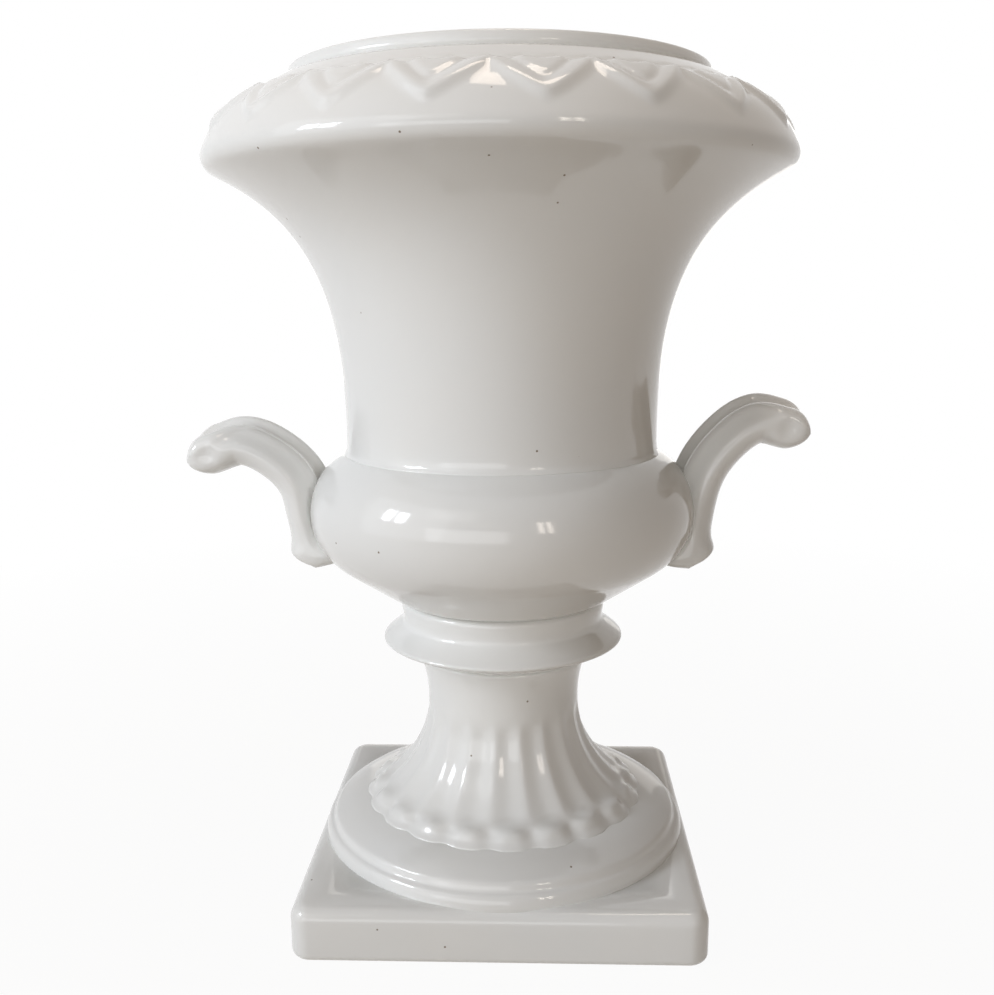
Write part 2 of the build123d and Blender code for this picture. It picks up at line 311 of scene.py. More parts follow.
@dataclass
class Outline:
    """Half section of a turned piece: radius and height in millimetres, drawn like a pen stroke."""

    stride: float
    points: list[Vector] = field(default_factory=list)

    def at(self, radius: float, height: float) -> "Outline":
        """Start the stroke at a point."""
        self.points = [Vector((radius, height))]
        return self

    def line(self, radius: float, height: float, stride: float | None = None) -> "Outline":
        """Draw straight to a point.

        Args:
            radius: radius of the point.
            height: height of the point.
            stride: step length, where it differs from the outline's own.

        Returns:
            The outline itself.
        """
        start = self.points[-1]
        end = Vector((radius, height))
        count = max(1, round((end - start).length / (stride or self.stride)))
        self.points += [start.lerp(end, i / count) for i in range(1, count + 1)]
        return self

    def curve(self, first: Vector, second: Vector, end: Vector, stride: float | None = None) -> "Outline":
        """Draw a Bezier curve to a point.

        Args:
            first: control point that the curve leaves towards.
            second: control point that it arrives from.
            end: where it ends.
            stride: step length, where it differs from the outline's own.

        Returns:
            The outline itself.
        """
        start = self.points[-1]
        reach = (first - start).length + (second - first).length + (end - second).length
        count = max(2, round(reach / (stride or self.stride)))
        self.points += [bezier(start, first, second, end, i / count) for i in range(1, count + 1)]
        return self

    def arc(self, centre: Vector, turn: float, stride: float | None = None) -> "Outline":
        """Draw round a centre.

        Args:
            centre: the arc's centre.
            turn: angle, anticlockwise where it is positive.
            stride: step length, where it differs from the outline's own.

        Returns:
            The outline itself.
        """
        arm = self.points[-1] - centre
        count = max(2, round(abs(turn) * arm.length / (stride or self.stride)))
        for i in range(1, count + 1):
            angle = turn * i / count
            cos, sin = math.cos(angle), math.sin(angle)
            self.points.append(centre + Vector((arm.x * cos - arm.y * sin, arm.x * sin + arm.y * cos)))
        return self

    def softened(self, passes: int, closed: bool) -> list[Vector]:
        """Return the points with every corner rounded, as a thick glaze rounds it.

        Args:
            passes: how often each point moves half the way to its neighbours' middle.
            closed: whether the stroke ends where it began.

        Returns:
            The softened points.
        """
        points = self.points[:-1] if closed else list(self.points)
        last = len(points) - 1
        for _ in range(passes):
            moved = []
            for i, point in enumerate(points):
                if not closed and i in (0, last):
                    moved.append(point)
                    continue
                middle = (points[i - 1] + points[(i + 1) % len(points)]) / 2
                moved.append(point.lerp(middle, 0.5))
            points = moved
        return points


@dataclass
class Casting:
    """One casting of the vase, drawn again over its node of the frame."""

    ware: ClassVar[Ware] = Ware.GLAZED
    node: str

    def shape(self, bm: bmesh.types.BMesh) -> None:
        """Draw the casting into an empty bmesh, in metres and at its place."""
        raise NotImplementedError

    def build(self, material: bpy.types.Material) -> bpy.types.Object:
        """Draw the casting, close its seams, shade it smooth and dress it.

        Args:
            material: the finish.

        Returns:
            The piece, which rides on the vase and stands for its node.
        """
        bm = bmesh.new()
        self.shape(bm)
        bmesh.ops.remove_doubles(bm, verts=bm.verts, dist=WELD_M)
        bmesh.ops.recalc_face_normals(bm, faces=bm.faces)
        for face in bm.faces:
            face.smooth = True
        mesh = bpy.data.meshes.new("glazed_" + self.node)
        bm.to_mesh(mesh)
        bm.free()
        mesh.materials.append(material)
        piece = bpy.data.objects.new("glazed_" + self.node, mesh)
        bpy.context.scene.collection.objects.link(piece)
        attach(piece, BODY)
        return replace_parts(piece, self.node)


@dataclass
class TurnedPiece(Casting):
    """A casting that is round about the vase's axis.

    stride is the step along its outline where it shows, covered_stride where a neighbour covers it,
    and hidden_stride inside the vase.
    """

    steps: int = 256
    soft_passes: int = 3
    closed: bool = True
    stride: float = 0.9
    covered_stride: float = 3.0
    hidden_stride: float = 5.0

    def __post_init__(self) -> None:
        """Read the casting's levels and radius from the frame."""
        low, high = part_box(self.node)
        self.foot = low.z / MM
        self.top = high.z / MM
        self.radius = high.y / MM

    def outline(self) -> Outline:
        """Return the half section."""
        raise NotImplementedError

    def carve(self, bm: bmesh.types.BMesh) -> None:
        """Move the turned vertices where the casting isn't plainly round."""

    def shape(self, bm: bmesh.types.BMesh) -> None:
        """Turn the half section about the axis and carve it.

        Args:
            bm: an empty bmesh.
        """
        points = self.outline().softened(self.soft_passes, self.closed)
        verts = [bm.verts.new((p.x * MM, 0, p.y * MM)) for p in points]
        following = verts[1:] + verts[:1] if self.closed else verts[1:]
        edges = [bm.edges.new(pair) for pair in zip(verts, following)]
        bmesh.ops.spin(
            bm,
            geom=verts + edges,
            cent=(0, 0, 0),
            axis=(0, 0, 1),
            angle=2 * math.pi,
            steps=self.steps,
            use_merge=True,
        )
        self.carve(bm)


@dataclass
class MouthCollar(TurnedPiece):
    """Low upright ring round the mouth."""

    node: str = "mouth_collar"
    stride: float = 0.6
    wall: float = 6.5
    taper: float = 1.2
    undercut: float = 0.9

    def outline(self) -> Outline:
        """Return a tapered bar with a rounded lip and a fine line cut in at its root."""
        mouth = self.radius - self.wall
        root = self.radius - self.undercut
        stroke = Outline(self.stride).at(root, self.foot).line(root, self.foot + self.undercut)
        stroke.line(self.radius, self.foot + 2 * self.undercut)
        stroke.line(self.radius - self.taper, self.top).line(mouth, self.top)
        return stroke.line(mouth, self.foot).line(root, self.foot)


@dataclass(frozen=True)
class LeafBand:
    """Band of pointed leaves in relief, folded into each other like a zigzag ribbon.

    Depths run from 0 at the band's top to 1 at its foot. Each leaf is a soft raised V with a rolled
    margin and a smaller V pressed into it, under a brow of shallow scallops. No two leaves are quite
    alike, as if pressed by hand.
    """

    count: int = 20
    turn: float = math.radians(-90)
    drop: float = 7.5
    height: float = 16.0
    rise: float = 1.2
    # The raised V, in shares of the band's height.
    point: float = 0.98
    point_round: float = 0.12
    climb: float = 0.86
    edge: float = 0.2
    margin: float = 0.3
    margin_place: float = 0.12
    margin_width: float = 0.1
    # The smaller V in it, in the same shares. The ends are where it fades out towards the large V's edge.
    vein: float = 0.55
    vein_point: float = 0.56
    vein_climb: float = 0.95
    vein_width: float = 0.1
    vein_ends: tuple[float, float] = (-0.1, 0.2)
    # The brow, and how many scallops it has on half a leaf.
    brow: float = 0.4
    brow_edge: float = 0.07
    brow_lift: float = 0.03
    brow_width: float = 0.06
    brow_ends: tuple[float, float] = (-0.1, 0.25)
    scallop: float = 0.06
    scallops: float = 1.5
    # The hand's unevenness, and how fast it changes from leaf to leaf.
    sway: float = 0.07
    sway_pace: float = 1.7
    pressing_pace: float = 2.4

    def relief(self, angle: float, level: float) -> float:
        """Return how far the shoulder is raised at a place.

        Args:
            angle: angle round the axis.
            level: millimetres below the shoulder's top.

        Returns:
            Millimetres, negative where it is pressed in.
        """
        depth = (level - self.drop) / self.height
        turns = ((angle - self.turn) / (2 * math.pi) % 1.0) * self.count
        leaf_number = math.floor(turns)
        pressing = 1 + 2 * self.sway * math.sin(self.pressing_pace * leaf_number)
        place = 2 * (turns - leaf_number) - 1
        place += self.sway * math.sin(self.sway_pace * leaf_number) * (1 - place * place)
        fold = math.hypot(place, self.point_round) - self.point_round
        inside = self.point - self.climb * fold - depth
        leaf = smooth_step(-self.edge, self.edge, inside)
        leaf += self.margin * hump(inside, self.margin_place, self.margin_width)
        small = self.vein_point - self.vein_climb * fold - depth
        leaf -= self.vein * hump(small, 0.0, self.vein_width) * smooth_step(*self.vein_ends, inside)
        top = self.scallop * abs(math.sin(self.scallops * math.pi * (place + 1)))
        start = smooth_step(top - self.brow_edge, top + self.brow_edge, depth)
        pressed = self.brow * hump(depth, top - self.brow_lift, self.brow_width)
        return self.rise * pressing * (leaf * start - pressed * smooth_step(*self.brow_ends, inside))


@dataclass
class Bell(TurnedPiece):
    """Flaring upper body, with the rolled rim and the leaf band on the shoulder above it.

    A pull is how far a curve's control point lies from its end.
    """

    node: str = "bell"
    steps: int = 560
    stride: float = 3.0
    foot_stride: float = 0.8
    roll_stride: float = 1.1
    shoulder_stride: float = 0.8
    hidden_stride: float = 6.0
    wall: float = 6.0
    # The foot curls out over the bowl's top edge.
    foot_radius: float = 72.8
    foot_flare: float = 2.4
    foot_sink: float = 1.4
    foot_curl: float = 4.0
    foot_pull_out: float = 0.6
    foot_pull_up: float = 1.0
    waist_height: float = 12.0
    waist_pull: float = 66.0
    flare_pull: float = 41.0
    flare_angle: float = math.radians(26)
    # The rolled rim, and the least roll that the inner face keeps.
    roll: float = 6.4
    least_roll: float = 1.0
    rim_drop: float = 31.7
    # The shoulder leans in from the roll and slopes up to the ledge that carries the collar.
    lean: float = math.radians(22)
    lean_pull: float = 15.0
    slope: float = math.radians(28)
    slope_pull: float = 25.0
    ledge_radius: float = 98.5
    mouth_radius: float = 88.0
    # What tells the outer face, which has leaves, from the inner one.
    plain_top: float = 2.0
    shoulder_bend: float = 1.9
    inner_share: float = 0.8
    leaves: LeafBand = LeafBand()

    def _side(
        self, stroke: Outline, inset: float, mouth: Vector, strides: tuple[float, float, float]
    ) -> None:
        """Draw the wall from the waist over the roll to the mouth.

        Args:
            stroke: the outline to draw on, standing at the waist.
            inset: how far inside the outer face.
            mouth: where the shoulder ends.
            strides: step lengths on the flare, the roll and the shoulder.
        """
        roll = max(self.least_roll, self.roll - inset)
        centre = Vector((self.radius - self.roll, self.top - self.rim_drop))
        flare = Vector((math.cos(self.flare_angle), math.sin(self.flare_angle)))
        start = centre + roll * Vector((flare.y, -flare.x))
        leave = stroke.points[-1] + Vector((0, self.waist_pull))
        stroke.curve(leave, start - self.flare_pull * flare, start, strides[0])
        stroke.arc(centre, math.pi / 2 - self.flare_angle + self.lean, strides[1])
        rise = Vector((-math.sin(self.lean), math.cos(self.lean)))
        fall = Vector((math.cos(self.slope), -math.sin(self.slope)))
        end = stroke.points[-1]
        stroke.curve(end + self.lean_pull * rise, mouth + self.slope_pull * fall, mouth, strides[2])

    def outline(self) -> Outline:
        """Return the closed section of the shell, outside and inside."""
        ledge = Vector((self.ledge_radius, self.top))
        throat = Vector((self.mouth_radius, self.top - self.wall))
        sole = self.foot - self.foot_sink
        waist = self.foot + self.waist_height
        bore = self.foot_radius - self.wall
        outer = Outline(self.stride).at(self.foot_radius + self.foot_flare, sole)
        outer.curve(
            Vector((self.foot_radius + self.foot_pull_out, self.foot)),
            Vector((self.foot_radius, self.foot + self.foot_pull_up)),
            Vector((self.foot_radius, self.foot + self.foot_curl)),
            self.foot_stride,
        )
        outer.line(self.foot_radius, waist)
        self._side(outer, 0.0, ledge, (self.stride, self.roll_stride, self.shoulder_stride))
        outer.line(self.mouth_radius, self.top)
        inner = Outline(self.hidden_stride).at(bore, sole).line(bore, waist)
        self._side(inner, self.wall, throat, (self.hidden_stride,) * 3)
        outer.points += reversed(inner.points)
        return outer.line(self.foot_radius + self.foot_flare, sole)

    def carve(self, bm: bmesh.types.BMesh) -> None:
        """Raise the leaves on the outer face of the shoulder, along each vertex's own normal.

        Args:
            bm: the turned shell.
        """
        bm.normal_update()
        moves = []
        for vert in bm.verts:
            level = self.top - vert.co.z / MM
            if not self.plain_top < level < self.rim_drop or self._is_inside(vert):
                continue
            around = Vector((vert.co.x, vert.co.y, 0)).normalized()
            face = vert.normal if vert.normal.dot(around) + vert.normal.z > 0 else -vert.normal
            raised = self.leaves.relief(math.atan2(vert.co.y, vert.co.x), level)
            moves.append((vert, face * raised * MM))
        for vert, move in moves:
            vert.co += move

    def _is_inside(self, vert: bmesh.types.BMVert) -> bool:
        """Tell whether a vertex is on the shell's inner face.

        Args:
            vert: a vertex between the ledge's level and the rim's.

        Returns:
            Whether it lies inside the ledge, or most of a wall below the shoulder's outer face.
        """
        radius = vert.co.xy.length / MM
        share = (radius - self.ledge_radius) / (self.radius - self.ledge_radius)
        outer = self.top - self.rim_drop * max(0.0, share) ** self.shoulder_bend
        return radius < self.ledge_radius or vert.co.z / MM < outer - self.inner_share * self.wall


@dataclass
class Bowl(TurnedPiece):
    """Swelling lower body with the floor that holds the water."""

    node: str = "bowl"
    closed: bool = False
    stride: float = 1.6
    hidden_stride: float = 4.0
    floor_stride: float = 8.0
    wall: float = 6.0
    foot_radius: float = 48.5
    top_radius: float = 72.8
    equator: float = 46.5
    belly: float = 29.7
    floor: float = 8.0
    neck_rise: float = 3.0
    neck_overhang: float = 1.0

    def _side(self, stroke: Outline, inset: float) -> None:
        """Draw from the foot up round the belly to the top edge.

        Args:
            stroke: outline that stands at the foot.
            inset: how far inside the outer face.
        """
        centre = Vector((self.radius - self.belly, self.foot + self.equator))
        belly = self.belly - inset
        reach = stroke.points[-1] - centre
        swing = math.atan2(reach.y, reach.x) + math.acos(belly / reach.length)
        touch = centre + belly * Vector((math.cos(swing), math.sin(swing)))
        stroke.line(touch.x, touch.y)
        stroke.arc(centre, -swing)
        run = self.radius - self.top_radius
        rise = self.top - self.foot - self.equator
        upper = (run * run + rise * rise) / (2 * run)
        middle = Vector((self.radius - inset - upper, self.foot + self.equator))
        stroke.arc(middle, math.atan2(rise, upper - run))

    def outline(self) -> Outline:
        """Return the section from the axis under the floor, round the wall and back."""
        sole = self.foot + self.neck_rise
        floor = self.foot + self.floor
        outer = Outline(self.stride).at(0.0, sole)
        outer.line(self.foot_radius + self.neck_overhang, sole, self.floor_stride)
        self._side(outer, 0.0)
        inner = Outline(self.hidden_stride).at(0.0, floor)
        inner.line(self.foot_radius - self.wall, floor, self.floor_stride)
        self._side(inner, self.wall)
        outer.line(inner.points[-1].x, inner.points[-1].y)
        outer.points += reversed(inner.points[:-1])
        return outer


@dataclass
class Knop(TurnedPiece):
    """Lens-shaped flange under a short neck."""

    node: str = "knop"
    soft_passes: int = 8
    bore: float = 28.0
    lip_radius: float = 36.0
    lip_height: float = 6.2
    lip_draft: float = 0.4
    edge_radius: float = 59.0
    edge_height: float = 15.6
    # The neck draws in at its foot, swells to a bead and reaches a little up into the bowl.
    neck_radius: float = 48.5
    neck_foot: float = 24.5
    neck_draw_in: float = 0.8
    neck_rise: float = 3.0
    bead_drop: float = 3.5
    bead_swell: float = 0.6
    lap: float = 0.8
    lap_swell: float = 0.2

    def outline(self) -> Outline:
        """Return the closed section of the ring."""
        bead = self.top + self.neck_rise - self.bead_drop
        head = self.top + self.neck_rise + self.lap
        stroke = Outline(self.stride).at(self.bore, self.foot).line(self.lip_radius, self.foot)
        stroke.line(self.lip_radius + self.lip_draft, self.foot + self.lip_height)
        stroke.line(self.edge_radius, self.foot + self.edge_height)
        stroke.line(self.neck_radius - self.neck_draw_in, self.foot + self.neck_foot)
        stroke.line(self.neck_radius + self.bead_swell, bead)
        stroke.line(self.neck_radius + self.lap_swell, head)
        stroke.line(self.bore, head, self.covered_stride)
        return stroke.line(self.bore, self.foot, self.hidden_stride)


@dataclass
class FlutedStem(TurnedPiece):
    """Trumpet stem with soft concave flutes that end in a scalloped hem.

    Places along a flute are shares of the flare's arc, from 0 at the waist to 1 at the hem. A pull is
    how far a curve's control point lies from its end.
    """

    node: str = "fluted_stem"
    steps: int = 480
    soft_passes: int = 6
    stride: float = 1.2
    flare_stride: float = 0.8
    hem_stride: float = 0.7
    bore: float = 28.0
    bore_foot: float = 33.95
    foot_bore: float = 50.0
    # The head spreads from the waist into a cove inside the flange above.
    top_radius: float = 41.5
    cove_rise: float = 8.6
    head_pull_out: float = 0.6
    head_pull_down: float = 1.0
    waist_radius: float = 36.8
    waist_height: float = 48.5
    waist_pull: float = 6.0
    # The hem's lip turns out into a toe that sinks a little into the base.
    hem_radius: float = 64.0
    hem_lip: float = 2.6
    hem_lip_pull: float = 1.56
    hem_pull_out: float = 0.7
    hem_sink: float = 1.7
    hem_toe: float = 6.0
    toe_pull_out: float = 1.8
    toe_pull_up: float = 0.5
    # The flutes, the lip at the end of each and the notches of the hem between them.
    flute_count: int = 20
    flute_turn: float = math.radians(4.6 - 90)
    flute_start: tuple[float, float] = (0.0, 0.15)
    flute_end: tuple[float, float] = (0.78, 0.93)
    head_depth: float = 0.9
    foot_depth: float = 1.1
    fold_power: float = 0.8
    lip_rise: float = 1.3
    lip_place: float = 0.95
    lip_width: float = 0.06
    notch_depth: float = 1.5
    notch_start: tuple[float, float] = (0.88, 0.99)
    # How near a vertex lies to the flare's outer face and to the waist's to be carved.
    flare_skin: float = 2.5
    waist_skin: float = 1.5

    def __post_init__(self) -> None:
        """Read the levels and work out the flare's arc."""
        super().__post_init__()
        run = self.hem_radius - self.waist_radius
        drop = self.waist_height - self.hem_lip
        self.flare = (run * run + drop * drop) / (2 * run)
        self.turn = math.atan2(drop, self.flare - run)
        self.centre = Vector((self.waist_radius + self.flare, self.foot + self.waist_height))

    def outline(self) -> Outline:
        """Return the closed section of the trumpet."""
        waist = self.foot + self.waist_height
        sole = self.foot - self.hem_sink
        head = self.top + self.cove_rise
        stroke = Outline(self.stride).at(self.bore, head)
        stroke.line(self.top_radius, head, self.covered_stride)
        stroke.curve(
            Vector((self.waist_radius + self.head_pull_out, self.top - self.head_pull_down)),
            Vector((self.waist_radius, waist + self.waist_pull)),
            Vector((self.waist_radius, waist)),
        )
        stroke.arc(self.centre, self.turn, self.flare_stride)
        stroke.curve(
            Vector((self.hem_radius + self.hem_pull_out, self.foot + self.hem_lip_pull)),
            Vector((self.hem_radius + self.toe_pull_out, self.foot + self.toe_pull_up)),
            Vector((self.hem_radius + self.hem_toe, sole)),
            self.hem_stride,
        )
        stroke.line(self.foot_bore, sole, self.covered_stride)
        stroke.line(self.bore, self.foot + self.bore_foot, self.hidden_stride)
        return stroke.line(self.bore, head, self.hidden_stride)

    def carve(self, bm: bmesh.types.BMesh) -> None:
        """Hollow the flutes into the flare, raise a lip at the end of each and notch the hem between.

        Args:
            bm: the turned trumpet.
        """
        for vert in bm.verts:
            radius = vert.co.xy.length / MM
            arm = Vector((radius, vert.co.z / MM)) - self.centre
            if arm.length > self.flare + self.flare_skin or radius < self.waist_radius - self.waist_skin:
                continue
            share = math.atan2(-arm.y, -arm.x) / self.turn
            turn = math.atan2(vert.co.y, vert.co.x) - self.flute_turn
            across = math.cos(turn * self.flute_count)
            hollow = smooth_step(*self.flute_start, share) * (1 - smooth_step(*self.flute_end, share))
            depth = (self.head_depth + (self.foot_depth - self.head_depth) * share) * hollow
            lip = self.lip_rise * hump(share, self.lip_place, self.lip_width)
            fold = (0.5 + 0.5 * across) ** self.fold_power
            lift = arm.normalized() * (lip - depth) * fold
            notch = self.notch_depth * smooth_step(*self.notch_start, share) * (0.5 - 0.5 * across) ** 2
            around = Vector((vert.co.x, vert.co.y, 0)).normalized()
            vert.co += (around * (-lift.x - notch) + Vector((0, 0, -lift.y))) * MM


@dataclass
class RoundBase(TurnedPiece):
    """Low dome over a step and a bead, hollow underneath."""

    node: str = "round_base"
    soft_passes: int = 8
    seat_stride: float = 4.0
    bore: float = 75.0
    bore_shoulder: float = 5.0
    skirt: float = 4.0
    draw_in: float = 1.5
    # The bead rolls in from the edge to a narrow shelf.
    bead_height: float = 6.0
    bead_middle: float = 3.0
    bead_bulge: float = 2.4
    bead_draft: float = 0.4
    bead_pull: float = 0.5
    shelf: float = 1.0
    setback: float = 2.4
    step_height: float = 3.5
    # The dome rises from the step to the seat of the stem's hem.
    dome_pull_in: float = 5.0
    dome_pull_up: float = 2.6
    seat_radius: float = 62.0
    seat_pull_out: float = 12.0
    seat_pull_down: float = 1.0
    seat_bore: float = 50.0
    seat_wall: float = 6.0

    def outline(self) -> Outline:
        """Return the closed section of the hollow base."""
        edge = self.radius - self.draw_in
        root = edge - self.bead_bulge
        step = root - self.setback
        sole = self.foot - self.skirt
        bead_top = self.foot + self.bead_height
        step_top = bead_top + self.step_height
        stroke = Outline(self.stride).at(edge, sole)
        stroke.curve(
            Vector((edge - self.bead_draft, self.foot + self.bead_middle)),
            Vector((root + self.bead_pull, bead_top)),
            Vector((root - self.shelf, bead_top)),
        )
        stroke.line(step, bead_top).line(step, step_top)
        stroke.curve(
            Vector((step - self.dome_pull_in, step_top + self.dome_pull_up)),
            Vector((self.seat_radius + self.seat_pull_out, self.top - self.seat_pull_down)),
            Vector((self.seat_radius, self.top)),
        )
        stroke.line(self.seat_bore, self.top, self.seat_stride)
        stroke.line(self.seat_bore, self.top - self.seat_wall, self.covered_stride)
        stroke.line(self.bore, self.foot + self.bore_shoulder, self.hidden_stride)
        stroke.line(self.bore, sole, self.hidden_stride)
        return stroke.line(edge, sole, self.covered_stride)


def draw_out(bm: bmesh.types.BMesh, rings: list[list[Vector]], closed: bool) -> None:
    """Draw a shape out of its first ring, ring after ring.

    Args:
        bm: an empty bmesh.
        rings: rings of places in metres, all with the same number of points.
        closed: whether the last ring joins the first again, otherwise both ends are capped.
    """
    ring = bmesh.ops.create_circle(bm, cap_ends=not closed, segments=len(rings[0]), radius=MM)["verts"]
    for vert, place in zip(ring, rings[0]):
        vert.co = place
    edges = list({edge for vert in ring for edge in vert.link_edges})
    for places in rings[1:]:
        grown = bmesh.ops.extrude_edge_only(bm, edges=edges)["geom"]
        fresh = {g for g in grown if isinstance(g, bmesh.types.BMVert)}
        edges = [g for g in grown if isinstance(g, bmesh.types.BMEdge) and set(g.verts) <= fresh]
        ring = [next(e.other_vert(v) for e in v.link_edges if e.other_vert(v) in fresh) for v in ring]
        for vert, place in zip(ring, places):
            vert.co = place
    if not closed:
        bmesh.ops.contextual_create(bm, geom=edges)


@dataclass
class Plinth(Casting):
    """Square foot with rounded edges, hollow underneath and open up into the round base."""

    ware: ClassVar[Ware] = Ware.BARE_FOOT
    node: str = "plinth"
    corner: float = 9.0
    least_corner: float = 1.5
    top_edge: float = 6.5
    top_border: float = 3.0
    foot_edge: float = 3.5
    wall: float = 11.0
    plate: float = 7.0
    bore: float = 75.0
    hollow_bevel: float = 2.0
    rim_bevel: float = 1.0
    side_points: int = 24
    corner_points: int = 14
    edge_points: int = 8

    def __post_init__(self) -> None:
        """Read the foot's levels and half its side from the frame."""
        low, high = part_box(self.node)
        self.foot = low.z / MM
        self.top = high.z / MM
        self.half = high.x / MM

    def _square(self, half: float, height: float) -> list[Vector]:
        """Return a ring in the shape of a square with rounded corners.

        Args:
            half: half the square's side.
            height: its level.

        Returns:
            Points in metres, round the axis.
        """
        corner = max(self.least_corner, self.corner - self.half + half)
        flat = half - corner
        ring = []
        for quarter in range(4):
            turn = Matrix.Rotation(quarter * math.pi / 2, 3, "Z")
            for i in range(self.side_points):
                along = flat * (2 * i / self.side_points - 1)
                ring.append(turn @ Vector((half, along, height)) * MM)
            for i in range(self.corner_points):
                angle = math.pi / 2 * i / self.corner_points
                x, y = flat + corner * math.cos(angle), flat + corner * math.sin(angle)
                ring.append(turn @ Vector((x, y, height)) * MM)
        return ring

    def _bore_ring(self, height: float) -> list[Vector]:
        """Return the round bore's ring at a level, point by point in line with the square's."""
        return [
            Vector((p.x, p.y, 0)).normalized() * self.bore * MM + Vector((0, 0, height * MM))
            for p in self._square(self.half, height)
        ]

    def shape(self, bm: bmesh.types.BMesh) -> None:
        """Draw the foot out from the bore, over the hollow, round the edges and back.

        Args:
            bm: an empty bmesh.
        """
        inner = self.half - self.wall
        ceiling = self.top - self.plate
        rings = [
            self._bore_ring(ceiling),
            self._square(inner - self.hollow_bevel, ceiling),
            self._square(inner, ceiling - self.hollow_bevel),
            self._square(inner, self.foot + self.rim_bevel),
            self._square(inner + self.rim_bevel, self.foot),
        ]
        angles = [math.pi / 2 * i / self.edge_points for i in range(self.edge_points + 1)]
        for angle in angles:
            back = self.foot_edge * (1 - math.sin(angle))
            rings.append(self._square(self.half - back, self.foot + self.foot_edge * (1 - math.cos(angle))))
        for angle in angles:
            back = self.top_edge * (1 - math.cos(angle))
            rings.append(self._square(self.half - back, self.top - self.top_edge * (1 - math.sin(angle))))
        rings.append(self._square(self.half - self.top_edge - self.top_border, self.top))
        rings += [self._bore_ring(self.top), rings[0]]
        draw_out(bm, rings, closed=True)


@dataclass
class Spine:
    """Smooth line through some points, walked by length."""

    points: list[Vector]
    samples: int = 24

    def __post_init__(self) -> None:
        """Sample the line and add up its length."""
        ends = [2 * self.points[0] - self.points[1]] + self.points + [2 * self.points[-1] - self.points[-2]]
        self.walk: list[Vector] = []
        for before, start, end, after in zip(ends, ends[1:], ends[2:], ends[3:]):
            reach = (end - start).length
            leave = (end - before).normalized() * reach / 3
            arrive = (after - start).normalized() * reach / 3
            for i in range(self.samples):
                self.walk.append(bezier(start, start + leave, end - arrive, end, i / self.samples))
        self.walk.append(self.points[-1])
        self.miles = [0.0]
        for start, end in zip(self.walk, self.walk[1:]):
            self.miles.append(self.miles[-1] + (end - start).length)
        self.length = self.miles[-1]

    def at(self, mile: float) -> tuple[Vector, Vector]:
        """Return the place at a length along the line.

        Args:
            mile: length from the start.

        Returns:
            The point and the direction there.
        """
        index = max(0, min(len(self.walk) - 2, sum(1 for m in self.miles if m <= mile) - 1))
        step = self.miles[index + 1] - self.miles[index]
        share = (mile - self.miles[index]) / step
        way = (self.walk[min(index + 2, len(self.walk) - 1)] - self.walk[max(index - 1, 0)]).normalized()
        return self.walk[index].lerp(self.walk[index + 1], share), way


